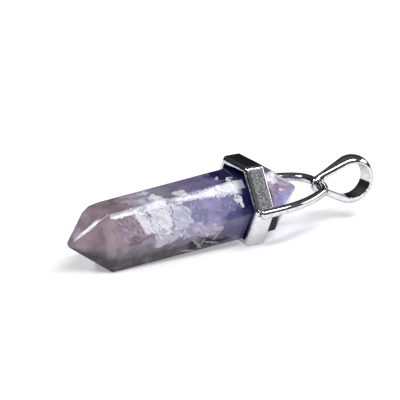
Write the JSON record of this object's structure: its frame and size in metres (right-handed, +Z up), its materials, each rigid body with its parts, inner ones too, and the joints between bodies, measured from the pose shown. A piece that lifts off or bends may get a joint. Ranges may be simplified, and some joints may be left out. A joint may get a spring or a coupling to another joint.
{
  "type": "fluorite pendant",
  "caption": "Hexagonal fluorite point, pointed at both ends, in a hexagonal metal collar with a wire arch and a swinging bail for a chain.",
  "frame": {"origin": "on the ground plane, below the middle of the bounding box of the pendant as it lies", "axes": "+X along the pendant from the stone's lower point to the bail, +Y along the bail's hinge, +Z up from the surface it lies on"},
  "size_m": [0.0426, 0.0138, 0.0103],
  "materials": {
    "fluorite": "polished",
    "plated_alloy": "polished"
  },
  "bodies": {
    "pendant": {"stone": "fluorite", "setting": "plated_alloy"},
    "bail": {"bail": "plated_alloy"}
  },
  "joints": [
    {"name": "bail_swing", "type": "hinge", "parent": "pendant", "child": "bail", "pos_m": [0.01354, -0.0007, 0.00561], "axis": [0, 1, 0], "range_deg": [-124, 116]}
  ]
}
